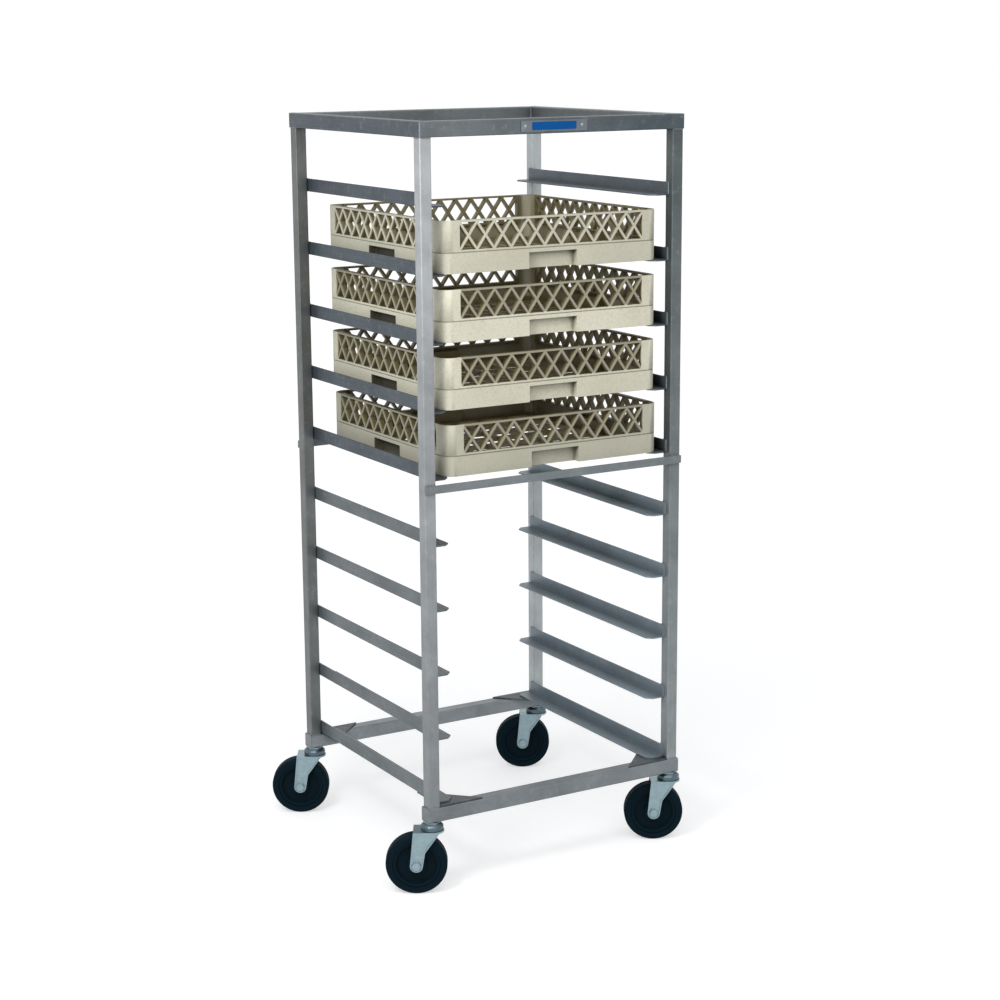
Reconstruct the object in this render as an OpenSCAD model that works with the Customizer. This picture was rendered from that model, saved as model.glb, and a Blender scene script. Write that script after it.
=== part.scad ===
// Glass rack dolly: an open frame of welded tube on swivel casters, with levels of ledges that
// carry square glass racks. Millimetres, Z up, the loading face towards -Y.
// The origin lies on the floor, midway between the four wheels.

/* [Racks] */
// Side of a rack, square in plan
rack_size = 500; // [440:5:560]
// Height of a rack
rack_height = 102; // [85:1:115]
// Thickness of a rack's walls
rack_wall = 3; // [2:0.5:5]
// Outer radius of a rack's upright corners
rack_corner = 24; // [14:1:30]
// Height of the closed band below the lattice
rack_band = 45; // [42:1:55]
// Height of the closed rim above the lattice
rack_rim = 4; // [3:0.5:8]
// Width of the closed column at each end of the lattice
rack_column = 40; // [38:1:60]
// Number of crossed cells along a wall
lattice_cells = 11; // [6:1:13]
// Width of a lattice strip
lattice_strip = 5; // [3:0.5:7]
// Depth of the lattice and its frame, from the outer face inwards
lattice_depth = 11; // [8:0.5:14]
// Width of a hand grip pocket
grip_width = 110; // [80:1:140]
// Height of a hand grip pocket
grip_height = 32; // [22:1:36]
// Depth of a hand grip pocket
grip_depth = 16; // [10:1:20]
// Depth of the floor grid and its border
floor_thick = 10; // [6:0.5:14]
// Number of openings along the floor grid
floor_cells = 7; // [4:1:9]
// Width of a rib of the floor grid
floor_rib = 8; // [5:1:14]
// Width of the closed border of the floor
floor_border = 30; // [27:1:45]
// Height of the seam between a rack's base and its upper wall
seam_level = 40; // [38:0.5:41]
// Height of the seam's groove
seam_height = 1.2; // [0.6:0.2:2]
// Depth of the seam's groove
seam_depth = 0.8; // [0.4:0.1:1]

/* [Load] */
// Number of racks on the dolly
rack_count = 4; // [4:1:4]
// Number of empty levels above the racks
levels_above_racks = 1; // [0:1:4]
// How far the racks stand behind the front of the posts
rack_setback = 17; // [5:1:30]
// How far the upper racks stand to the right of the middle
rack_shift = 4; // [-8:1:8]
// How far the lowest rack stands to the right of the middle
last_rack_shift = 8; // [-10:1:10]
// Height of a resting rack above its ledges
rest_gap = 0.2; // [0.1:0.1:0.5]

/* [Frame] */
// Side of the square posts
post_size = 25; // [20:1:35]
// Wall of the posts
post_wall = 2; // [1.5:0.5:3]
// Outer edge radius of the posts
post_corner = 2.5; // [1:0.5:4]
// Side of the square rails
rail_size = 30; // [26:1:40]
// Wall of the rails
rail_wall = 2; // [1.5:0.5:3]
// Outer edge radius of the rails
rail_corner = 3; // [1:0.5:3.5]
// Outer radius of the top ring's upright corners
ring_corner = 5; // [2:0.5:5]
// Thickness of the plates that close the bottom rails
cap_thick = 2; // [1.5:0.5:3]
// Free depth behind the racks, up to the back of the posts
rear_room = 51; // [35:1:70]
// Free height from the top ledges to the top ring
top_room = 105; // [80:1:140]
// Side of the corner plates on the bottom rails
gusset_leg = 98; // [60:1:140]
// Thickness of the corner plates
gusset_thick = 3; // [2:0.5:5]

/* [Ledges] */
// Number of levels
ledge_levels = 10; // [10:1:10]
// Height from one level to the next
ledge_pitch = 132; // [122:1:160]
// Height of a ledge's upright leg
ledge_leg = 27; // [15:1:40]
// Thickness of a ledge
ledge_thick = 3; // [2:0.5:5]
// Free width between a centred rack and the upright leg
rack_side_gap = 22; // [12:1:30]
// How far a ledge reaches under a centred rack
ledge_overlap = 15; // [12:1:40]
// How far a ledge ends short of the posts' outer faces
ledge_inset = 14; // [2:1:20]
// Cut across the free corners of a ledge
ledge_snip = 12; // [4:1:14]

/* [Cross bars] */
// Number of levels above the bars
levels_above_bars = 5; // [3:1:8]
// Free height between the bars and the ledges above them
bar_drop = 5; // [2:1:10]
// Height of a bar
bar_height = 16; // [10:1:20]
// Thickness of a bar
bar_thick = 5; // [3:0.5:8]

/* [Name plate] */
// Width of the plate
plate_width = 150; // [120:1:200]
// Height of the plate
plate_height = 22; // [16:1:23]
// Thickness of the plate
plate_thick = 1.2; // [0.8:0.1:2]
// Corner radius of the plate
plate_corner = 2; // [1:0.5:4]
// How far the plate sits to the right of the middle
plate_shift = -6; // [-20:1:20]
// Width of the coloured panel
panel_width = 100; // [70:1:105]
// Height of the coloured panel
panel_height = 15; // [10:1:16]
// Thickness of the coloured panel
panel_thick = 0.6; // [0.4:0.1:1]
// Corner radius of the coloured panel
panel_corner = 1.5; // [1:0.5:3]
// Diameter of a rivet head
rivet_d = 6; // [4:0.5:7]
// Rise of a rivet head
rivet_rise = 1.4; // [1:0.1:1.8]
// Distance of a rivet from the end of the plate
rivet_inset = 11; // [7:0.5:12]

/* [Casters] */
// Diameter of the wheels
wheel_d = 125; // [110:1:150]
// Width of a tyre
tyre_width = 32; // [26:1:40]
// Thickness of a tyre's tread
tyre_depth = 14; // [9:1:18]
// Radius of a tyre's shoulders
tyre_round = 6; // [3:0.5:8]
// Distance of an axle behind its stem
trail = 32; // [27:1:38]
// Direction that the wheels trail in, turned from the left towards the rear
heading = 30; // [0:5:60]
// Diameter of a hub
hub_d = 38; // [28:1:44]
// Free width between a hub and the fork
hub_gap = 1; // [0.5:0.5:2]
// Thickness of a wheel's web
web_thick = 10; // [6:1:16]
// Depth of a wheel's rim under the tyre
rim_depth = 7; // [4:1:8]
// Width of a wheel's rim
rim_width = 28; // [20:1:30]

/* [Forks] */
// Thickness of a fork's sheet
fork_sheet = 3; // [2:0.5:4]
// Height of the lip along a leg's edges
fork_lip = 2.5; // [1:0.5:4]
// Width of the lip along a leg's edges
lip_width = 2.5; // [1.5:0.5:3]
// Free width between tyre and leg
fork_side_gap = 3; // [2.5:0.5:6]
// Free height between tyre and crown
fork_top_gap = 4; // [4:0.5:8]
// Thickness of the crown
fork_crown = 4; // [3.5:0.5:6]
// How far the legs reach ahead of the stem at the crown
fork_brow = 17; // [14:1:20]
// How far a leg's waist lies ahead of its eye
fork_waist = 5; // [3:0.5:7]
// Height of a leg's waist above the axle
waist_rise = 28; // [24:1:32]
// How far the crown reaches behind the axle
fork_heel = 6; // [2:1:12]
// Radius of a leg round the axle
fork_eye = 13; // [12.5:0.5:16]

/* [Swivels] */
// Diameter of the upper race
cup_d = 46; // [42:1:52]
// Height of the upper race
cup_height = 13.4; // [10:0.1:18]
// Bevel of the upper race's top edge
cup_bevel = 5; // [2:0.5:7]
// Free height between the races
race_gap = 0.6; // [0.4:0.1:1]
// Radius of the ring of balls
race_r = 16; // [14:0.5:17]
// Diameter of a ball
ball_d = 5; // [4:0.5:5.5]
// Number of balls in a ring
ball_count = 14; // [8:1:15]
// Diameter of a stem
stem_d = 12; // [8:0.5:14]
// Width of a stem's collar across flats
collar_flats = 30; // [22:1:34]
// Height of a stem's collar
collar_height = 3; // [2:0.5:6]
// Diameter of the head under the crown
king_head_d = 20; // [16:1:22]
// Height of the head under the crown
king_head = 3.2; // [2:0.2:3.4]
// Free height above a stem inside its rail
stem_room = 1; // [0.5:0.5:3]

/* [Axles] */
// Diameter of an axle bolt
axle_d = 10; // [8:0.5:12]
// Width of an axle's head and nut across flats
axle_flats = 16; // [13:1:17]
// Height of an axle's head
axle_head = 6; // [4:0.5:8]
// Height of an axle's nut
axle_nut = 8; // [5:0.5:10]
// How far an axle's end stands out of its nut
axle_tip = 2; // [1:0.5:4]
// Diameter of the spacer tube round an axle
bush_d = 16; // [14:0.5:20]

/* [Clearances] */
// Radial room of a turning fit
run_clear = 0.05; // [0.02:0.01:0.1]
// Room of a piece that is seated in another
seat_clear = 0.05; // [0.02:0.01:0.1]
// Room between pieces that pass without touching
free_clear = 0.3; // [0.2:0.05:0.5]

/* [Hidden] */
$fn = 48;
// How far a cutter stands out of the face that it cuts
cut = 1;
aluminium = [0.62, 0.66, 0.69];
zinc = [0.66, 0.71, 0.74];
beige = [0.78, 0.76, 0.66];
black = [0.06, 0.08, 0.09];
blue = [0.05, 0.33, 0.58];

// Heights of the caster stack, from the floor up to the frame
wheel_r = wheel_d / 2;
crown_z0 = wheel_d + fork_top_gap;
crown_z1 = crown_z0 + fork_crown;
cup_z0 = crown_z1 + race_gap;
collar_z0 = cup_z0 + cup_height;
frame_z0 = collar_z0 + collar_height;

// Widths of the frame, taken from the rack that it carries
bay_half = rack_size / 2 + rack_side_gap + ledge_thick;
frame_width = 2 * (bay_half + post_size);
frame_depth = rack_size + rack_setback + rear_room;
corner_x = frame_width / 2 - post_size / 2;
corner_y = frame_depth / 2 - post_size / 2;
ring_x = 2 * corner_x + rail_size;
ring_y = 2 * corner_y + rail_size;

// Heights of the frame
post_z0 = frame_z0 + rail_size;
low_ledge_z = post_z0 + gusset_thick;
post_z1 = low_ledge_z + (ledge_levels - 1) * ledge_pitch + ledge_leg + top_room;
ledge_reach = ledge_thick + rack_side_gap + ledge_overlap;
ledge_length = frame_depth - 2 * ledge_inset;
bar_z0 = ledge_z(levels_above_bars) - bar_drop - bar_height;
rail_inside = rail_size - 2 * rail_wall;

// Window of the lattice in a rack's wall
window_w = rack_size - 2 * rack_column;
window_h = rack_height - rack_band - rack_rim;

// Fork and wheel
fork_inside = tyre_width / 2 + fork_side_gap;
fork_outside = fork_inside + fork_sheet;
crown_r = fork_outside + fork_lip;
tyre_in = wheel_r - tyre_depth;
hub_width = 2 * (fork_inside - hub_gap);
ball_z = crown_z1 + race_gap / 2;

// Place of the frame's middle, ahead of the wheels by their trail
stance = trail * [cos(heading), -sin(heading)];

corners = [["front_left", -1, -1], ["front_right", 1, -1], ["rear_left", -1, 1], ["rear_right", 1, 1]];
caster_pieces = ["balls", "fork", "axle", "bush", "core", "tyre"];

// Height of a level's underside, counted from the top
function ledge_z(k) = low_ledge_z + (ledge_levels - k) * ledge_pitch;

// Point where a line from p touches the circle of radius r about o, on the given side
function tangent(p, o, r, side) =
  let (d = p - o, a = atan2(d[1], d[0]) + side * acos(r / norm(d))) o + r * [cos(a), sin(a)];

// Corner b of the path a, b, c, moved to the left of both its lines by the given inset
function inner_corner(a, b, c, inset) =
  let (u = (b - a) / norm(b - a), v = (c - b) / norm(c - b), w = u + v)
    b + inset * [-w[1], w[0]] / (1 + u * v);

// Rectangle with rounded corners
module rounded(x, y, r) {
  square([x - 2 * r, y], center = true);
  square([x, y - 2 * r], center = true);
  for (i = [-1, 1], j = [-1, 1])
    translate([i * (x / 2 - r), j * (y / 2 - r)])
      circle(r);
}

// Section of a square tube, rounded outside and sharp inside
module tube_section(size, wall, corner) {
  difference() {
    rounded(size, size, corner);
    square(size - 2 * wall, center = true);
  }
}

// Moves a piece of the frame to its place ahead of the wheels
module on_frame() {
  translate([stance[0], stance[1], 0])
    children();
}

// Moves a piece of a caster to its corner, with +X along the trail
module at_corner(c) {
  on_frame()
    translate([c[1] * corner_x, c[2] * corner_y, 0])
      rotate([0, 0, 180 - heading])
        children();
}

// Turns a revolved piece onto the axle
module on_axle() {
  translate([trail, 0, wheel_r])
    rotate([90, 0, 0])
      children();
}

module post(c) {
  color(aluminium)
    on_frame()
      translate([c[1] * corner_x, c[2] * corner_y, post_z0])
        linear_extrude(post_z1 - post_z0)
          tube_section(post_size, post_wall, post_corner);
}

// Rail of the top ring along X, with its outer side towards -Y and mitred ends
module mitred_rail(length) {
  half = rail_size / 2;
  intersection() {
    rotate([90, 0, 90])
      linear_extrude(length, center = true)
        tube_section(rail_size, rail_wall, rail_corner);
    linear_extrude(rail_size + 2 * cut, center = true)
      polygon([
        [-length / 2, -half],
        [length / 2, -half],
        [length / 2 - rail_size, half],
        [-length / 2 + rail_size, half]
      ]);
  }
}

module top_rail(turn, length, reach) {
  color(aluminium)
    on_frame()
      translate([0, 0, post_z1 + rail_size / 2])
        intersection() {
          rotate([0, 0, turn])
            translate([0, -reach, 0])
              mitred_rail(length);
          linear_extrude(rail_size + 2 * cut, center = true)
            rounded(ring_x, ring_y, ring_corner);
        }
}

module bottom_rail(j) {
  color(aluminium)
    on_frame()
      translate([0, j * corner_y, frame_z0 + rail_size / 2])
        difference() {
          rotate([90, 0, 90])
            linear_extrude(ring_x - 2 * cap_thick, center = true)
              tube_section(rail_size, rail_wall, rail_corner);
          for (i = [-1, 1])
            translate([i * corner_x, 0, -rail_size])
              cylinder(h = rail_size, d = stem_d + 2 * free_clear);
        }
}

module rail_end_caps() {
  color(aluminium)
    on_frame()
      for (i = [-1, 1], j = [-1, 1])
        translate([i * (ring_x - cap_thick) / 2, j * corner_y, frame_z0 + rail_size / 2])
          rotate([90, 0, 90])
            linear_extrude(cap_thick, center = true)
              rounded(rail_size, rail_size, rail_corner);
}

module stem_blocks() {
  side = rail_inside - 2 * seat_clear;
  color(zinc)
    for (c = corners)
      on_frame()
        translate([c[1] * corner_x, c[2] * corner_y, frame_z0 + rail_wall])
          difference() {
            translate([-side / 2, -side / 2, 0])
              cube([side, side, rail_inside - seat_clear]);
            translate([0, 0, -cut])
              cylinder(h = rail_size, d = stem_d + 2 * seat_clear);
          }
}

// Triangular plates on the bottom rails, which the lowest ledges lie on
module corner_plates() {
  color(aluminium)
    on_frame()
      for (c = corners)
        translate([c[1] * bay_half, c[2] * frame_depth / 2, post_z0])
          linear_extrude(gusset_thick)
            polygon([
              [0, 0],
              [-c[1] * gusset_leg, 0],
              [0, -c[2] * gusset_leg]
            ]);
}

// Angle along Y with its upright leg towards -X, snipped at the free corners
module ledge() {
  half = ledge_length / 2;
  linear_extrude(ledge_thick)
    polygon([
      [0, -half],
      [ledge_reach - ledge_snip, -half],
      [ledge_reach, -half + ledge_snip],
      [ledge_reach, half - ledge_snip],
      [ledge_reach - ledge_snip, half],
      [0, half]
    ]);
  translate([0, -half, 0])
    cube([ledge_thick, ledge_length, ledge_leg]);
}

module ledges(k) {
  color(aluminium)
    on_frame()
      for (i = [0, 1])
        mirror([i, 0, 0])
          translate([-bay_half, 0, ledge_z(k)])
            ledge();
}

module cross_bar(j) {
  color(aluminium)
    on_frame()
      translate([-frame_width / 2, j * (frame_depth + bar_thick) / 2 - bar_thick / 2, bar_z0])
        cube([frame_width, bar_thick, bar_height]);
}

// Moves a flat piece onto the face of the front top rail
module on_name_face() {
  on_frame()
    translate([plate_shift, -ring_y / 2, post_z1 + rail_size / 2])
      rotate([90, 0, 0])
        children();
}

module name_plate() {
  color(aluminium)
    on_name_face()
      linear_extrude(plate_thick)
        rounded(plate_width, plate_height, plate_corner);
}

module name_panel() {
  color(blue)
    on_name_face()
      translate([0, 0, plate_thick])
        linear_extrude(panel_thick)
          rounded(panel_width, panel_height, panel_corner);
}

// Domed heads at the two ends of the plate
module plate_rivets() {
  dome_r = (rivet_d * rivet_d / 4 + rivet_rise * rivet_rise) / (2 * rivet_rise);
  color(zinc)
    on_name_face()
      for (i = [-1, 1])
        translate([i * (plate_width / 2 - rivet_inset), 0, plate_thick])
          intersection() {
            translate([0, 0, rivet_rise - dome_r])
              sphere(dome_r);
            cylinder(h = 2 * rivet_rise, d = 2 * rivet_d);
          }
}

// Stem with the collar that meets the frame and the king pin head that holds the fork
module caster_stems() {
  head_z = crown_z0 - free_clear - king_head;
  top_z = frame_z0 + rail_size - rail_wall - stem_room;
  color(zinc)
    for (c = corners)
      at_corner(c)
        union() {
          translate([0, 0, head_z])
            cylinder(h = king_head, d = king_head_d);
          translate([0, 0, head_z])
            cylinder(h = top_z - head_z, d = stem_d);
          translate([0, 0, collar_z0])
            cylinder(h = collar_height, d = collar_flats / cos(30), $fn = 6);
        }
}

// Upper race: a bevelled cap with a groove for the balls
module caster_cups() {
  color(zinc)
    for (c = corners)
      at_corner(c)
        rotate_extrude()
          difference() {
            polygon([
              [stem_d / 2 + seat_clear, cup_z0],
              [cup_d / 2, cup_z0],
              [cup_d / 2, collar_z0 - cup_bevel],
              [cup_d / 2 - cup_bevel, collar_z0],
              [stem_d / 2 + seat_clear, collar_z0]
            ]);
            translate([race_r, ball_z])
              circle(ball_d / 2 + free_clear);
          }
}

module caster_balls(c) {
  color(zinc)
    at_corner(c)
      for (n = [0 : ball_count - 1])
        rotate([0, 0, n * 360 / ball_count])
          translate([race_r, 0, ball_z])
            sphere(d = ball_d);
}

// Side view of a fork's leg, drawn in by the given inset
module leg_outline(inset) {
  eye = [trail, wheel_r];
  eye_r = fork_eye - inset;
  brow = [-fork_brow, crown_z1];
  waist = eye + [-fork_eye - fork_waist, waist_rise];
  heel = [trail + fork_heel, crown_z1];
  waist_in = inner_corner(brow, waist, eye - [fork_eye, 0], inset);
  heel_in = inner_corner(eye + [fork_eye, 0], heel, brow, inset);
  polygon([
    inner_corner(heel, brow, waist, inset),
    waist_in,
    tangent(waist_in, eye, eye_r, 1),
    tangent(heel_in, eye, eye_r, -1),
    heel_in
  ]);
  translate(eye)
    circle(eye_r);
}

// Plan of a fork: round about the stem, straight from there to the given end
module fork_plan(end) {
  circle(crown_r);
  translate([0, -crown_r])
    square([end, 2 * crown_r]);
}

// Fork: a round crown with the lower race and two lipped legs
module caster_fork(c) {
  color(zinc)
    at_corner(c)
      difference() {
        union() {
          intersection() {
            for (i = [0, 1])
              mirror([0, i, 0])
                translate([0, -fork_inside, 0])
                  rotate([90, 0, 0])
                    difference() {
                      linear_extrude(fork_sheet + fork_lip)
                        leg_outline(0);
                      translate([0, 0, fork_sheet])
                        linear_extrude(fork_lip + cut)
                          leg_outline(lip_width);
                    }
            linear_extrude(crown_z1)
              fork_plan(trail + fork_eye + cut);
          }
          translate([0, 0, crown_z0])
            linear_extrude(fork_crown)
              fork_plan(trail + fork_heel);
        }
        translate([0, 0, crown_z0 - cut])
          cylinder(h = fork_crown + 2 * cut, d = stem_d + 2 * run_clear);
        rotate_extrude()
          translate([race_r, ball_z])
            circle(ball_d / 2 + free_clear);
        on_axle()
          cylinder(h = 4 * fork_outside, d = axle_d + 2 * seat_clear, center = true);
      }
}

// Axle bolt with its head on one leg and its nut on the other
module caster_axle(c) {
  hex_d = axle_flats / cos(30);
  end_z = fork_outside + axle_nut + axle_tip;
  color(zinc)
    at_corner(c)
      on_axle() {
        union() {
          translate([0, 0, -fork_outside - axle_head])
            cylinder(h = axle_head, d = hex_d, $fn = 6);
          translate([0, 0, -fork_outside - axle_head])
            cylinder(h = fork_outside + axle_head + end_z, d = axle_d);
        }
        translate([0, 0, fork_outside])
          difference() {
            cylinder(h = axle_nut, d = hex_d, $fn = 6);
            translate([0, 0, -cut])
              cylinder(h = axle_nut + 2 * cut, d = axle_d + 2 * seat_clear);
          }
      }
}

// Spacer tube that the axle clamps between the legs
module caster_bush(c) {
  color(zinc)
    at_corner(c)
      on_axle()
        difference() {
          cylinder(h = 2 * fork_inside, d = bush_d, center = true);
          cylinder(h = 2 * (fork_inside + cut), d = axle_d + 2 * seat_clear, center = true);
        }
}

// Wheel body: hub, web and rim
module caster_core(c) {
  bore_r = bush_d / 2 + run_clear;
  rim_r = tyre_in - seat_clear;
  color(black)
    at_corner(c)
      on_axle()
        rotate_extrude() {
          translate([bore_r, -hub_width / 2])
            square([hub_d / 2 - bore_r, hub_width]);
          translate([bore_r, -web_thick / 2])
            square([rim_r - bore_r, web_thick]);
          translate([rim_r - rim_depth, -rim_width / 2])
            square([rim_depth, rim_width]);
        }
}

module caster_tyre(c) {
  color(black)
    at_corner(c)
      on_axle()
        rotate_extrude() {
          translate([tyre_in, -tyre_width / 2])
            square([tyre_depth - tyre_round, tyre_width]);
          translate([tyre_in, -tyre_width / 2 + tyre_round])
            square([tyre_depth, tyre_width - 2 * tyre_round]);
          for (s = [-1, 1])
            translate([wheel_r - tyre_round, s * (tyre_width / 2 - tyre_round)])
              circle(tyre_round);
        }
}

// Plan of a rack, drawn in by the given inset
module rack_plan(inset) {
  side = rack_size - 2 * inset;
  rounded(side, side, rack_corner - inset);
}

// Repeats a piece on the four walls of a rack, with X along the wall and +Y inwards
module on_walls() {
  for (turn = [0 : 90 : 270])
    rotate([0, 0, turn])
      translate([0, -rack_size / 2, 0])
        children();
}

// Openings between the crossed strips of a wall: a row of diamonds and two rows of triangles
module lattice_openings() {
  cell = window_w / lattice_cells;
  slope = atan2(window_h, cell);
  side = lattice_strip / (2 * sin(slope));
  rise = lattice_strip / (2 * cos(slope));
  mid = rack_band + window_h / 2;
  top = rack_band + window_h;
  wide = cell / 2 - side;
  high = window_h / 2 - rise;
  for (n = [0 : lattice_cells - 1])
    translate([(n + 0.5) * cell - window_w / 2, 0]) {
      polygon([[-wide, top], [wide, top], [0, mid + rise]]);
      polygon([[-wide, rack_band], [wide, rack_band], [0, mid - rise]]);
    }
  for (n = [1 : lattice_cells - 1])
    translate([n * cell - window_w / 2, mid])
      polygon([[-wide, 0], [0, -high], [wide, 0], [0, high]]);
  for (s = [-1, 1])
    translate([s * window_w / 2, mid])
      polygon([[0, -high], [0, high], [-s * wide, 0]]);
}

// Openings of the floor grid
module floor_openings() {
  span = rack_size - 2 * floor_border;
  pitch = (span + floor_rib) / floor_cells;
  for (i = [0 : floor_cells - 1], j = [0 : floor_cells - 1])
    translate([i * pitch - span / 2, j * pitch - span / 2])
      square(pitch - floor_rib);
}

// Rack: a square tray with lattice walls, a grid floor and a grip pocket in each wall
module rack(n) {
  shift = n < rack_count ? rack_shift : last_rack_shift;
  rest_y = -frame_depth / 2 + rack_setback + rack_size / 2;
  rest_z = ledge_z(levels_above_racks + n) + ledge_thick + rest_gap;
  color(beige)
    on_frame()
      translate([shift, rest_y, rest_z])
        difference() {
          union() {
            difference() {
              linear_extrude(rack_height)
                rack_plan(0);
              translate([0, 0, floor_thick])
                linear_extrude(rack_height)
                  rack_plan(rack_wall);
            }
            on_walls()
              translate([-window_w / 2 - rack_rim, 0, rack_band - rack_rim])
                cube([window_w + 2 * rack_rim, lattice_depth, window_h + 2 * rack_rim]);
            on_walls()
              translate([-grip_width / 2 - rack_wall, 0, 0])
                cube([grip_width + 2 * rack_wall, grip_depth + rack_wall, grip_height + rack_wall]);
          }
          translate([0, 0, -cut])
            linear_extrude(floor_thick + 2 * cut)
              floor_openings();
          on_walls()
            translate([-grip_width / 2, -cut, -cut])
              cube([grip_width, grip_depth + cut, grip_height + cut]);
          on_walls()
            translate([0, lattice_depth + cut, 0])
              rotate([90, 0, 0])
                linear_extrude(lattice_depth + 2 * cut)
                  lattice_openings();
          translate([0, 0, seam_level])
            linear_extrude(seam_height)
              difference() {
                rack_plan(-cut);
                rack_plan(seam_depth);
              }
        }
}

for (c = corners)
  post(c);
top_rail(0, ring_x, corner_y);  // top_rail_front
top_rail(180, ring_x, corner_y);  // top_rail_rear
top_rail(-90, ring_y, corner_x);  // top_rail_left
top_rail(90, ring_y, corner_x);  // top_rail_right
bottom_rail(-1);  // bottom_rail_front
bottom_rail(1);  // bottom_rail_rear
rail_end_caps();
stem_blocks();
corner_plates();
for (k = [1 : ledge_levels])
  ledges(k);
cross_bar(-1);  // cross_bar_front
cross_bar(1);  // cross_bar_rear
name_plate();
name_panel();
plate_rivets();
caster_stems();
caster_cups();
for (c = corners) {
  caster_balls(c);
  caster_fork(c);
  caster_axle(c);
  caster_bush(c);
  caster_core(c);
  caster_tyre(c);
}
for (n = [1 : rack_count])
  rack(n);
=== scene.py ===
# Glass rack dolly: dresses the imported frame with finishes, welds and studio light.
import math
import random

import bmesh
import bpy
from mathutils import Matrix, Vector


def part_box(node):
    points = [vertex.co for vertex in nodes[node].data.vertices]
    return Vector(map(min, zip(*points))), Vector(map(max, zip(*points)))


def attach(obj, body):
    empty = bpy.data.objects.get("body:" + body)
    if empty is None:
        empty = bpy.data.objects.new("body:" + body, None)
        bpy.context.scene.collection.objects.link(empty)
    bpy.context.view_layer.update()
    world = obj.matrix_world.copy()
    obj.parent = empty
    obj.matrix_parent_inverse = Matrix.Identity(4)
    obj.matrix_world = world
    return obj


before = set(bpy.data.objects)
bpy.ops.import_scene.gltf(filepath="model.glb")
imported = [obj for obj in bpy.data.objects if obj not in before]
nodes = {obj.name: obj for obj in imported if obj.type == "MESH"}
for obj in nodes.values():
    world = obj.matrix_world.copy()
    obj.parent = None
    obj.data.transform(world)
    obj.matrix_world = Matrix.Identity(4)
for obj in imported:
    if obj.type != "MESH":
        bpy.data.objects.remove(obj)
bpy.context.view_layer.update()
scene = bpy.context.scene

MM = 0.001
X, Y, Z = 0, 1, 2
CORNERS = ("front_left", "front_right", "rear_left", "rear_right")
LEVELS = range(1, 11)
FIRST_LOW_LEVEL = 6

# Camera: focal length in pixels of a square picture, place in metres, turn in degrees
PICTURE_PIXELS, SENSOR_WIDTH, FOCAL_PIXELS = 1000.0, 36.0, 2153.9
CAMERA_PLACE = (-2.2010, -3.8828, 1.6983)
CAMERA_AZIMUTH, CAMERA_PITCH, CAMERA_ROLL = 30.343, 12.307, -0.41

# Rack and grip sizes
RACK_CORNER, RACK_COLUMN, RACK_BAND = 24 * MM, 40 * MM, 45 * MM
GRIP_WIDTH, GRIP_HEIGHT, GRIP_DEPTH = 110 * MM, 32 * MM, 16 * MM

# Weld beads: radius of each kind, and how far each stays from the ends of its joint
POST_BEAD, LEDGE_BEAD, BAR_BEAD, INNER_BEAD = 1.7 * MM, 1.5 * MM, 1.5 * MM, 1.5 * MM
MITRE_BEAD, BEND_BEAD = 0.7 * MM, 0.8 * MM
POST_INSET, LEDGE_INSET, BAR_INSET = 2.5 * MM, 1 * MM, 3 * MM
MITRE_INSET, BEND_INSET = 3 * MM, 1.6 * MM
BEAD_SIDES, RINGS_PER_RIPPLE, RIPPLE_SHARE = 8, 4, 1.3

# Edges: width of the rounding on each kind of piece, where its faces turn by more than the sharp angle
FORK_EDGE, CORE_EDGE, STEM_EDGE, CUP_EDGE = 0.6 * MM, 1.2 * MM, 0.5 * MM, 0.8 * MM
BAR_EDGE, CAP_EDGE, GUSSET_EDGE, LEDGE_EDGE = 0.8 * MM, 0.4 * MM, 0.6 * MM, 0.7 * MM
PLATE_EDGE, PANEL_EDGE, RACK_EDGE = 0.3 * MM, 0.2 * MM, 0.5 * MM
SHARP_ANGLE, MERGE_DISTANCE = 35.0, 0.001 * MM

# Stage: the floor's own light and its lift for the camera add up to white.
FLOOR_REACH, FLOOR_TONE, FLOOR_LIFT = 30.0, 0.6, 0.5
WORLD_TINT, WORLD_LIGHT = (0.94, 0.965, 1.0), 0.5

# Lamps: place and target in metres, power, and the angle or the size that softens the shadow
SKY_PLACE, SKY_TARGET, SKY_POWER, SKY_ANGLE = (-1.6, -2.6, 4.0), (0.0, 0.0, 0.8), 1.6, 70.0
KEY_PLACE, KEY_TARGET, KEY_POWER, KEY_SIZE = (-1.36, -0.95, 1.75), (-0.26, -0.29, 1.2), 13.0, 0.5

# Painted shade: how far it reaches from faces that stand close
SHADE_REACH, CREVICE_REACH, FINE_REACH = 60 * MM, 30 * MM, 12 * MM
INSIDE_REACH, GRIP_REACH = 140 * MM, 50 * MM

# Places in metres between which the painted light and shade changes, up a post and from left to right
TONE_FOOT, TONE_HEAD, TONE_LEFT, TONE_RIGHT = 0.3, 1.4, -0.2, 0.2

# Drawing lines of the extrusions: texture scale across and along them
LINES_ACROSS, LINES_ALONG = 900.0, 9.0

# Colours that several finishes share
BLACK, WHITE = (0.0, 0.0, 0.0), (1.0, 1.0, 1.0)
# Painted shade for the aluminium's corners and crevices
CORNER_SHADE, CREVICE_SHADE = (0.05, 0.06, 0.068), (0.006, 0.007, 0.008)
PLASTIC_PALE, PLASTIC_WARM, PLASTIC_SPECK = (0.52, 0.5, 0.39), (0.6, 0.58, 0.46), (0.36, 0.335, 0.235)
# Painted shade for the racks' lattice, inner faces, deep inside, grip pockets, side grips and seams
LATTICE_SHADE, INNER_SHADE, DEEP_SHADE = (0.2, 0.18, 0.115), (0.12, 0.092, 0.028), (0.105, 0.084, 0.022)
GRIP_SHADE, FLANK_SHADE, SEAM_SHADE = (0.06, 0.06, 0.045), (0.03, 0.026, 0.015), (0.12, 0.105, 0.06)


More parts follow.
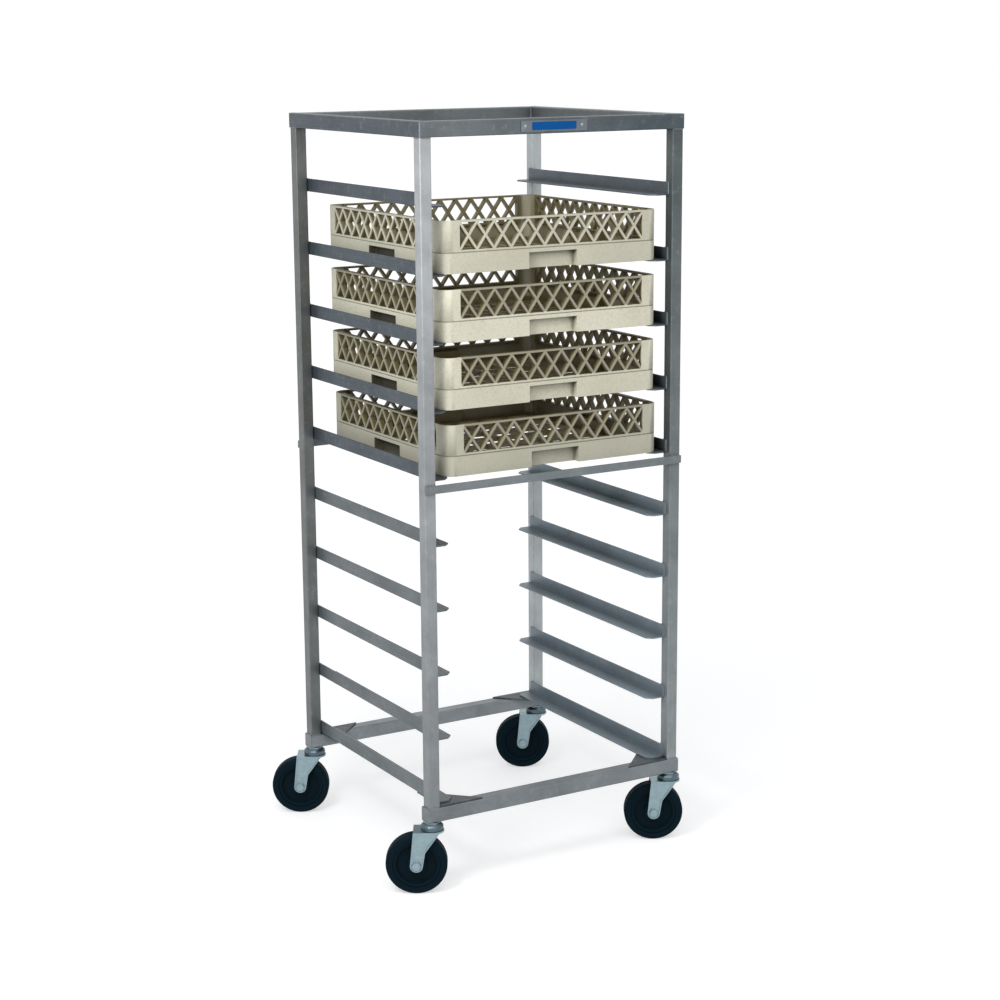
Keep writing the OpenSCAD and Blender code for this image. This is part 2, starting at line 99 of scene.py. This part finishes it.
# Camera at the photograph's viewing angle
def add_camera():
    data = bpy.data.cameras.new("camera")
    data.sensor_width = SENSOR_WIDTH
    data.lens = FOCAL_PIXELS * SENSOR_WIDTH / PICTURE_PIXELS
    data.clip_end = 100.0
    cam = bpy.data.objects.new("camera", data)
    scene.collection.objects.link(cam)
    azimuth, pitch, roll = (math.radians(a) for a in (CAMERA_AZIMUTH, CAMERA_PITCH, CAMERA_ROLL))
    level = Vector((math.sin(azimuth), math.cos(azimuth), 0.0))
    forward = level * math.cos(pitch) - Vector((0.0, 0.0, math.sin(pitch)))
    right = Vector((math.cos(azimuth), -math.sin(azimuth), 0.0))
    up = right.cross(forward)
    rolled_right = right * math.cos(roll) + up * math.sin(roll)
    rolled_up = up * math.cos(roll) - right * math.sin(roll)
    turn = Matrix((rolled_right, rolled_up, -forward)).transposed().to_4x4()
    cam.matrix_world = Matrix.Translation(Vector(CAMERA_PLACE)) @ turn
    scene.camera = cam


# Shader helpers
def new_material(name):
    mat = bpy.data.materials.new(name)
    mat.use_nodes = True
    tree = mat.node_tree
    tree.nodes.clear()
    out = tree.nodes.new("ShaderNodeOutputMaterial")
    bsdf = tree.nodes.new("ShaderNodeBsdfPrincipled")
    tree.links.new(bsdf.outputs["BSDF"], out.inputs["Surface"])
    return mat, tree, bsdf


def add_node(tree, kind, **values):
    node = tree.nodes.new(kind)
    for key, value in values.items():
        if hasattr(node, key):
            setattr(node, key, value)
        else:
            node.inputs[key].default_value = value
    return node


def object_space(tree, scale=(1.0, 1.0, 1.0)):
    coord = tree.nodes.new("ShaderNodeTexCoord")
    mapping = tree.nodes.new("ShaderNodeMapping")
    mapping.inputs["Scale"].default_value = scale
    tree.links.new(coord.outputs["Object"], mapping.inputs["Vector"])
    return mapping.outputs["Vector"]


def position(tree, axis):
    split = tree.nodes.new("ShaderNodeSeparateXYZ")
    tree.links.new(object_space(tree), split.inputs["Vector"])
    return split.outputs[axis]


def noise(tree, vector, scale, detail=3.0, roughness=0.55):
    node = add_node(tree, "ShaderNodeTexNoise", Scale=scale, Detail=detail, Roughness=roughness)
    tree.links.new(vector, node.inputs["Vector"])
    return node.outputs["Fac"]


def ranged(tree, value, low, high, start=0.3, end=0.7):
    """Turns the range from start to end into the range from low to high."""
    node = tree.nodes.new("ShaderNodeMapRange")
    node.inputs["From Min"].default_value = start
    node.inputs["From Max"].default_value = end
    node.inputs["To Min"].default_value = low
    node.inputs["To Max"].default_value = high
    tree.links.new(value, node.inputs["Value"])
    return node.outputs["Result"]


def rising(tree, value, start, end):
    return ranged(tree, value, 0.0, 1.0, start, end)


def falling(tree, value, start, end):
    return ranged(tree, value, 1.0, 0.0, start, end)


def mixed(tree, factor, a, b, blend="MIX"):
    node = tree.nodes.new("ShaderNodeMix")
    node.data_type = "RGBA"
    node.blend_type = blend
    if isinstance(factor, float):
        node.inputs[0].default_value = factor
    else:
        tree.links.new(factor, node.inputs[0])
    for slot, value in ((6, a), (7, b)):
        if isinstance(value, tuple):
            node.inputs[slot].default_value = (*value, 1.0)
        else:
            tree.links.new(value, node.inputs[slot])
    return node.outputs[2]


def joined(tree, operation, a, b):
    node = add_node(tree, "ShaderNodeMath", operation=operation)
    for slot, value in enumerate((a, b)):
        if isinstance(value, float):
            node.inputs[slot].default_value = value
        else:
            tree.links.new(value, node.inputs[slot])
    return node.outputs[0]


def product(tree, a, b):
    return joined(tree, "MULTIPLY", a, b)


def vector_step(tree, operation, a, b=None):
    node = add_node(tree, "ShaderNodeVectorMath", operation=operation)
    tree.links.new(a, node.inputs[0])
    if b is not None:
        node.inputs[1].default_value = b
    return node.outputs["Value" if operation == "LENGTH" else "Vector"]


def shaded(tree, reach, start, end):
    """Rises from 0 on open faces to 1 where other faces stand close."""
    node = add_node(tree, "ShaderNodeAmbientOcclusion", samples=8, Distance=reach)
    return falling(tree, node.outputs["AO"], start, end)


def bumped(tree, bsdf, height, strength, distance):
    node = tree.nodes.new("ShaderNodeBump")
    node.inputs["Strength"].default_value = strength
    node.inputs["Distance"].default_value = distance
    tree.links.new(height, node.inputs["Height"])
    tree.links.new(node.outputs["Normal"], bsdf.inputs["Normal"])


# Dulled aluminium extrusion with drawing lines along one axis and painted shade in its corners and
# crevices.
# With a second tone it changes from the one at the floor or at the left to the other, as painted light
# and shade.
def aluminium(name, axis, tone, top=None, right=None, near_shade=CORNER_SHADE, close=CREVICE_REACH):
    mat, tree, bsdf = new_material(name)
    stretch = [LINES_ACROSS, LINES_ACROSS, LINES_ACROSS]
    stretch[axis] = LINES_ALONG
    grain = noise(tree, object_space(tree, tuple(stretch)), 1.0, 4.0)
    clouds = noise(tree, object_space(tree), 11.0, 5.0, 0.6)
    stain = noise(tree, object_space(tree), 75.0, 4.0, 0.65)
    # Painted light and shade: the tone changes towards the top or the right of the piece
    if top:
        tone = mixed(tree, rising(tree, position(tree, "Z"), TONE_FOOT, TONE_HEAD), tone, top)
    if right:
        tone = mixed(tree, rising(tree, position(tree, "X"), TONE_LEFT, TONE_RIGHT), tone, right)
    tone = mixed(tree, ranged(tree, clouds, 0.0, 0.34), tone, BLACK)
    tone = mixed(tree, ranged(tree, grain, 0.0, 0.12), tone, BLACK)
    tone = mixed(tree, ranged(tree, stain, 0.0, 0.09, 0.55, 0.8), tone, WHITE)
    # Painted shade: darker where other faces stand close, near black in the tightest gaps
    tone = mixed(tree, shaded(tree, SHADE_REACH, 0.25, 0.9), tone, near_shade)
    tone = mixed(tree, shaded(tree, close, 0.2, 0.55), tone, CREVICE_SHADE)
    tree.links.new(tone, bsdf.inputs["Base Color"])
    tree.links.new(ranged(tree, grain, 0.36, 0.52), bsdf.inputs["Roughness"])
    bsdf.inputs["Metallic"].default_value = 0.6
    bumped(tree, bsdf, grain, 0.12, 0.4 * MM)
    return mat


# Zinc plate: bright, slightly blue, with a faint spangle
def zinc(name, tint):
    mat, tree, bsdf = new_material(name)
    space = object_space(tree)
    cells = add_node(tree, "ShaderNodeTexVoronoi", Scale=420.0)
    tree.links.new(space, cells.inputs["Vector"])
    haze = noise(tree, space, 90.0, 4.0)
    tone = mixed(tree, ranged(tree, haze, 0.0, 0.5), tint, tuple(c * 0.72 for c in tint))
    tone = mixed(tree, 0.12, tone, cells.outputs["Color"], "SOFT_LIGHT")
    tree.links.new(tone, bsdf.inputs["Base Color"])
    tree.links.new(ranged(tree, haze, 0.26, 0.42), bsdf.inputs["Roughness"])
    bsdf.inputs["Metallic"].default_value = 0.9
    bumped(tree, bsdf, haze, 0.08, 0.3 * MM)
    return mat


# Moulded beige plastic with a fine grain, with painted shade on its lattice, inner faces, grip pockets
# and corners.
# The last three values scale its paleness as painted light, and set the painted shade on its lattice
# and on its inside.
def rack_plastic(name, node, light_scale, lattice_shading, inner_shading):
    mat, tree, bsdf = new_material(name)
    space = object_space(tree)
    clouds = noise(tree, space, 8.0, 4.0)
    speck = noise(tree, space, 260.0, 3.0)
    grain = noise(tree, space, 1500.0, 2.0)
    pale, warm = (tuple(light_scale * c for c in tone) for tone in (PLASTIC_PALE, PLASTIC_WARM))
    tone = mixed(tree, ranged(tree, clouds, 0.0, 1.0), pale, warm)
    tone = mixed(tree, ranged(tree, speck, 0.0, 0.4, 0.48, 0.75), tone, PLASTIC_SPECK)
    inner, grip, flank, lattice = rack_zones(tree, node)
    tone = mixed(tree, product(tree, lattice, lattice_shading), tone, LATTICE_SHADE)
    # Painted shade: darker on the inner faces, darkest deep inside
    tone = mixed(tree, product(tree, inner, inner_shading), tone, INNER_SHADE)
    deep = product(tree, inner, shaded(tree, INSIDE_REACH, 0.35, 0.95))
    tone = mixed(tree, deep, tone, DEEP_SHADE)
    dim = product(tree, grip, shaded(tree, GRIP_REACH, 0.3, 0.65))
    tone = mixed(tree, dim, tone, GRIP_SHADE)
    tone = mixed(tree, product(tree, product(tree, grip, flank), 0.8), tone, FLANK_SHADE)
    tone = mixed(tree, shaded(tree, FINE_REACH, 0.2, 0.8), tone, SEAM_SHADE)
    tree.links.new(tone, bsdf.inputs["Base Color"])
    tree.links.new(ranged(tree, speck, 0.42, 0.58), bsdf.inputs["Roughness"])
    bumped(tree, bsdf, grain, 0.1, 0.4 * MM)
    return mat


def rack_zones(tree, node):
    """Gives masks of a rack's inner faces, grip pockets, left and right sides and lattice."""
    lo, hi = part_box(node)
    centre = (lo + hi) / 2
    half = (hi.x - lo.x) / 2
    flat = half - RACK_CORNER
    place = vector_step(tree, "SUBTRACT", object_space(tree), (centre.x, centre.y, 0.0))
    place = vector_step(tree, "MULTIPLY", vector_step(tree, "ABSOLUTE", place), (1.0, 1.0, 0.0))
    past = vector_step(tree, "SUBTRACT", place, (flat, flat, 0.0))
    reach = vector_step(tree, "LENGTH", vector_step(tree, "MAXIMUM", past, (0.0, 0.0, 0.0)))
    inside = falling(tree, reach, RACK_CORNER - 5 * MM, RACK_CORNER - 0.5 * MM)
    axes = tree.nodes.new("ShaderNodeSeparateXYZ")
    tree.links.new(place, axes.inputs["Vector"])
    across, deep = axes.outputs["X"], axes.outputs["Y"]
    along = joined(tree, "MINIMUM", across, deep)
    out = joined(tree, "MAXIMUM", across, deep)
    side, back, top = GRIP_WIDTH / 2, half - GRIP_DEPTH, lo.z + GRIP_HEIGHT
    grip = falling(tree, along, side + 0.5 * MM, side + 1.5 * MM)
    grip = product(tree, grip, rising(tree, out, back - 2 * MM, back - 1 * MM))
    grip = product(tree, grip, falling(tree, position(tree, "Z"), top + 0.5 * MM, top + 1.5 * MM))
    flank = rising(tree, joined(tree, "SUBTRACT", across, deep), -MM, MM)
    column, foot = half - RACK_COLUMN, lo.z + RACK_BAND
    lattice = falling(tree, along, column - 1 * MM, column)
    lattice = product(tree, lattice, rising(tree, position(tree, "Z"), foot, foot + 2 * MM))
    return product(tree, inside, falling(tree, grip, 0.0, 1.0)), grip, flank, lattice


def rubber(name, tone, dust):
    mat, tree, bsdf = new_material(name)
    space = object_space(tree)
    speck = noise(tree, space, 160.0, 5.0, 0.7)
    grain = noise(tree, space, 1200.0, 2.0)
    colour = mixed(tree, ranged(tree, speck, 0.0, 0.35, 0.45, 0.85), tone, dust)
    tree.links.new(colour, bsdf.inputs["Base Color"])
    tree.links.new(ranged(tree, speck, 0.55, 0.75), bsdf.inputs["Roughness"])
    bsdf.inputs["Specular IOR Level"].default_value = 0.06
    bumped(tree, bsdf, grain, 0.12, 0.4 * MM)
    return mat


def paint(name, tone, deep):
    mat, tree, bsdf = new_material(name)
    space = object_space(tree)
    clouds = noise(tree, space, 45.0, 3.0)
    peel = noise(tree, space, 700.0, 2.0)
    colour = mixed(tree, ranged(tree, clouds, 0.0, 0.6), tone, deep)
    tree.links.new(colour, bsdf.inputs["Base Color"])
    tree.links.new(ranged(tree, clouds, 0.24, 0.36), bsdf.inputs["Roughness"])
    bsdf.inputs["Specular IOR Level"].default_value = 0.12
    bumped(tree, bsdf, peel, 0.06, 0.3 * MM)
    return mat


# Finishes of the part, one tone for each run of tube, angle or bar; the aluminium tones differ from
# piece to piece, up the posts and to the right as painted light, shade and reflection
POST = {
    "front_left": aluminium("post_aluminium_1", Z, (0.27, 0.29, 0.3), (0.49, 0.51, 0.525)),
    "front_right": aluminium("post_aluminium_2", Z, (0.31, 0.345, 0.355), (0.12, 0.14, 0.142)),
    "rear_left": aluminium("post_aluminium_3", Z, (0.19, 0.205, 0.203), (0.19, 0.2, 0.19)),
    "rear_right": aluminium("post_aluminium_4", Z, (0.53, 0.57, 0.575)),
}
TOP = {
    "front": aluminium("top_aluminium_1", X, (0.165, 0.185, 0.193), right=(0.108, 0.136, 0.152)),
    "rear": aluminium("top_aluminium_2", X, (0.165, 0.185, 0.193)),
    "left": aluminium("top_aluminium_3", Y, (0.084, 0.105, 0.125)),
    "right": aluminium("top_aluminium_4", Y, (0.165, 0.185, 0.193)),
}
BASE = {
    "front": aluminium("base_aluminium_1", X, (0.225, 0.252, 0.265)),
    "rear": aluminium("base_aluminium_2", X, (0.28, 0.31, 0.325)),
}
# Painted shade: the corner plates are a dark copy of the aluminium
GUSSET = aluminium("corner_aluminium", X, (0.075, 0.09, 0.1))
# Painted shade on the upper ledges and painted light on the lower ones, both lighter towards the right
HIGH_LEDGE = aluminium(
    "ledge_aluminium_1",
    Y,
    (0.078, 0.1, 0.12),
    right=(0.135, 0.163, 0.185),
    near_shade=(0.08, 0.096, 0.106),
)
LOW_LEDGE = aluminium(
    "ledge_aluminium_2",
    Y,
    (0.165, 0.19, 0.2),
    right=(0.235, 0.29, 0.325),
    near_shade=(0.17, 0.21, 0.235),
    close=FINE_REACH,
)
PLATE = aluminium("plate_aluminium", X, (0.2, 0.225, 0.245))
WELD = zinc("weld_metal", (0.22, 0.235, 0.245))
ZINC = zinc("zinc", (0.27, 0.365, 0.4))
CUP = zinc("cup_zinc", (0.105, 0.145, 0.17))
# Each rack is a lighter or darker copy for the light it gets, with painted shade on the lattice of the
# lower racks
RACKS = {
    "rack_1": rack_plastic("rack_plastic_1", "rack_1", 1.0, 0.05, 0.86),
    "rack_2": rack_plastic("rack_plastic_2", "rack_2", 1.2, 0.75, 0.88),
    "rack_3": rack_plastic("rack_plastic_3", "rack_3", 1.1, 0.75, 0.88),
    "rack_4": rack_plastic("rack_plastic_4", "rack_4", 0.82, 0.65, 0.88),
}
TYRE = rubber("tyre_rubber", (0.0014, 0.0085, 0.014), (0.006, 0.016, 0.023))
CORE = rubber("core_plastic", (0.0018, 0.0085, 0.0135), (0.007, 0.016, 0.022))
BLUE = paint("panel_paint", (0.0005, 0.088, 0.31), (0.0005, 0.062, 0.23))


def finish_node(name, mat, bevel=0.0, segments=2):
    obj = nodes[name]
    obj.data.materials.clear()
    obj.data.materials.append(mat)
    if bevel:
        weld = obj.modifiers.new("weld", "WELD")
        weld.merge_threshold = MERGE_DISTANCE
        mod = obj.modifiers.new("bevel", "BEVEL")
        mod.width = bevel
        mod.segments = segments
        mod.limit_method = "ANGLE"
        mod.angle_limit = math.radians(SHARP_ANGLE)
        mod.harden_normals = True


def finish_nodes():
    for corner in CORNERS:
        finish_node("post_" + corner, POST[corner])
        for piece in ("balls", "bush"):
            finish_node(f"caster_{corner}_{piece}", ZINC)
        for piece in ("fork", "axle"):
            finish_node(f"caster_{corner}_{piece}", ZINC, FORK_EDGE)
        finish_node(f"caster_{corner}_core", CORE, CORE_EDGE)
        finish_node(f"caster_{corner}_tyre", TYRE)
    for side, mat in TOP.items():
        finish_node("top_rail_" + side, mat)
    for side, mat in BASE.items():
        finish_node("bottom_rail_" + side, mat)
        finish_node("cross_bar_" + side, BASE["front"], BAR_EDGE)
    finish_node("rail_end_caps", BASE["front"], CAP_EDGE)
    finish_node("stem_blocks", ZINC)
    finish_node("corner_plates", GUSSET, GUSSET_EDGE)
    for level in LEVELS:
        mat = HIGH_LEDGE if level < FIRST_LOW_LEVEL else LOW_LEDGE
        finish_node(f"ledges_{level}", mat, LEDGE_EDGE)
    finish_node("name_plate", PLATE, PLATE_EDGE)
    finish_node("name_panel", BLUE, PANEL_EDGE)
    finish_node("plate_rivets", ZINC)
    finish_node("caster_stems", ZINC, STEM_EDGE)
    finish_node("caster_cups", CUP, CUP_EDGE)
    for name, mat in RACKS.items():
        finish_node(name, mat, RACK_EDGE, 1)


# Weld beads: rippled tubes laid in the corners where two pieces meet
class Beads:
    def __init__(self, name, seed):
        self.name = name
        self.bm = bmesh.new()
        self.draw = random.Random(seed)

    def lay(self, start, end, radius):
        start, end = Vector(start), Vector(end)
        run = end - start
        length = run.length
        along = run.normalized()
        side = along.orthogonal().normalized()
        other = along.cross(side)
        ripple = radius * RIPPLE_SHARE
        count = max(6, int(length / ripple * RINGS_PER_RIPPLE))
        rings = []
        phase = self.draw.random()
        for n in range(count + 1):
            t = n / count
            wave = 0.5 + 0.5 * math.cos(2 * math.pi * (t * length / ripple + phase))
            taper = min(1.0, 0.55 + 6.0 * min(t, 1.0 - t))
            r = radius * taper * (0.82 + 0.18 * wave) * self.draw.uniform(0.96, 1.04)
            centre = start + run * t
            ring = []
            for k in range(BEAD_SIDES):
                a = 2 * math.pi * k / BEAD_SIDES
                outward = side * math.cos(a) + other * math.sin(a)
                ring.append(self.bm.verts.new(centre + outward * r))
            rings.append(ring)
        for a, b in zip(rings, rings[1:]):
            for k in range(BEAD_SIDES):
                j = (k + 1) % BEAD_SIDES
                self.bm.faces.new((a[k], a[j], b[j], b[k]))
        self.bm.faces.new(list(reversed(rings[0])))
        self.bm.faces.new(rings[-1])

    def done(self):
        bmesh.ops.recalc_face_normals(self.bm, faces=self.bm.faces)
        mesh = bpy.data.meshes.new(self.name)
        self.bm.to_mesh(mesh)
        self.bm.free()
        for poly in mesh.polygons:
            poly.use_smooth = True
        obj = bpy.data.objects.new(self.name, mesh)
        scene.collection.objects.link(obj)
        mesh.materials.append(WELD)
        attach(obj, "frame")


def weld_posts():
    beads = Beads("welds_posts", 3)
    for corner in CORNERS:
        lo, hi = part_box("post_" + corner)
        x0, x1, y0, y1 = lo.x + POST_INSET, hi.x - POST_INSET, lo.y + POST_INSET, hi.y - POST_INSET
        for z in (lo.z, hi.z):
            for y in (lo.y, hi.y):
                beads.lay((x0, y, z), (x1, y, z), POST_BEAD)
            for x in (lo.x, hi.x):
                beads.lay((x, y0, z), (x, y1, z), POST_BEAD)
    beads.done()


def weld_ledges():
    beads = Beads("welds_ledges", 5)
    front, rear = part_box("post_front_left"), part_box("post_rear_left")
    for level in LEVELS:
        lo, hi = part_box(f"ledges_{level}")
        for x in (lo.x, hi.x):
            for y0, y1 in ((lo.y, front[1].y), (rear[0].y, hi.y)):
                beads.lay((x, y0, hi.z), (x, y1, hi.z), LEDGE_BEAD)
            for y in (lo.y, hi.y):
                beads.lay((x, y, lo.z + LEDGE_INSET), (x, y, hi.z - LEDGE_INSET), LEDGE_BEAD)
    beads.done()


def weld_bars():
    beads = Beads("welds_bars", 7)
    for side in ("front", "rear"):
        lo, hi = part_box("cross_bar_" + side)
        y = hi.y if side == "front" else lo.y
        for hand in ("left", "right"):
            p0, p1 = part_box(f"post_{side}_{hand}")
            for z in (lo.z, hi.z):
                beads.lay((p0.x + BAR_INSET, y, z), (p1.x - BAR_INSET, y, z), BAR_BEAD)
    beads.done()


def weld_mitres():
    beads = Beads("welds_mitres", 9)
    front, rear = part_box("top_rail_front"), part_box("top_rail_rear")
    x0, x1, y0, y1 = front[0].x, front[1].x, front[0].y, rear[1].y
    size = front[1].y - front[0].y
    z0, z1 = front[0].z, front[1].z
    for x, sx in ((x0, 1), (x1, -1)):
        for y, sy in ((y0, 1), (y1, -1)):

            def at(inset, z):
                return Vector((x + sx * inset, y + sy * inset, z))

            for z in (z0, z1):
                beads.lay(at(MITRE_INSET, z), at(size - MITRE_INSET, z), MITRE_BEAD)
            for inset, radius in ((BEND_INSET, BEND_BEAD), (size, INNER_BEAD)):
                beads.lay(at(inset, z0 + MITRE_INSET), at(inset, z1 - MITRE_INSET), radius)
    beads.done()


# Pale floor and soft studio light
def seen_directly(tree):
    """Is 1 for rays that look at the background, straight or by way of a mirror or glass."""
    path = tree.nodes.new("ShaderNodeLightPath")
    total = path.outputs["Is Camera Ray"]
    for name in ("Is Glossy Ray", "Is Transmission Ray"):
        total = joined(tree, "MAXIMUM", total, path.outputs[name])
    return total


def add_floor():
    mesh = bpy.data.meshes.new("floor")
    bm = bmesh.new()
    bmesh.ops.create_grid(bm, x_segments=2, y_segments=2, size=FLOOR_REACH)
    bm.to_mesh(mesh)
    bm.free()
    floor = bpy.data.objects.new("floor", mesh)
    scene.collection.objects.link(floor)
    mat, tree, bsdf = new_material("floor_paper")
    bsdf.inputs["Base Color"].default_value = (FLOOR_TONE, FLOOR_TONE, FLOOR_TONE, 1.0)
    bsdf.inputs["Roughness"].default_value = 0.9
    glow = add_node(tree, "ShaderNodeEmission", Color=(*WHITE, 1.0))
    tree.links.new(product(tree, seen_directly(tree), FLOOR_LIFT), glow.inputs["Strength"])
    both = tree.nodes.new("ShaderNodeAddShader")
    tree.links.new(bsdf.outputs["BSDF"], both.inputs[0])
    tree.links.new(glow.outputs["Emission"], both.inputs[1])
    tree.links.new(both.outputs["Shader"], tree.nodes["Material Output"].inputs["Surface"])
    mesh.materials.append(mat)


def add_world():
    world = bpy.data.worlds.new("studio")
    scene.world = world
    world.use_nodes = True
    tree = world.node_tree
    tree.nodes.clear()
    out = tree.nodes.new("ShaderNodeOutputWorld")
    soft = add_node(tree, "ShaderNodeBackground", Color=(*WORLD_TINT, 1.0), Strength=WORLD_LIGHT)
    white = add_node(tree, "ShaderNodeBackground", Color=(*WHITE, 1.0), Strength=1.0)
    pick = tree.nodes.new("ShaderNodeMixShader")
    tree.links.new(seen_directly(tree), pick.inputs["Fac"])
    tree.links.new(soft.outputs["Background"], pick.inputs[1])
    tree.links.new(white.outputs["Background"], pick.inputs[2])
    tree.links.new(pick.outputs["Shader"], out.inputs["Surface"])


def add_lamp(name, kind, place, target, power, **settings):
    data = bpy.data.lights.new(name, kind)
    data.energy = power
    for key, value in settings.items():
        setattr(data, key, value)
    lamp = bpy.data.objects.new(name, data)
    scene.collection.objects.link(lamp)
    lamp.location = place
    lamp.rotation_mode = "QUATERNION"
    lamp.rotation_quaternion = (Vector(target) - Vector(place)).to_track_quat("-Z", "Y")


add_camera()
add_floor()
add_world()
add_lamp("sky", "SUN", SKY_PLACE, SKY_TARGET, SKY_POWER, angle=math.radians(SKY_ANGLE))
add_lamp("key", "AREA", KEY_PLACE, KEY_TARGET, KEY_POWER, shape="DISK", size=KEY_SIZE)
finish_nodes()
weld_posts()
weld_ledges()
weld_bars()
weld_mitres()
scene.view_settings.view_transform = "Standard"
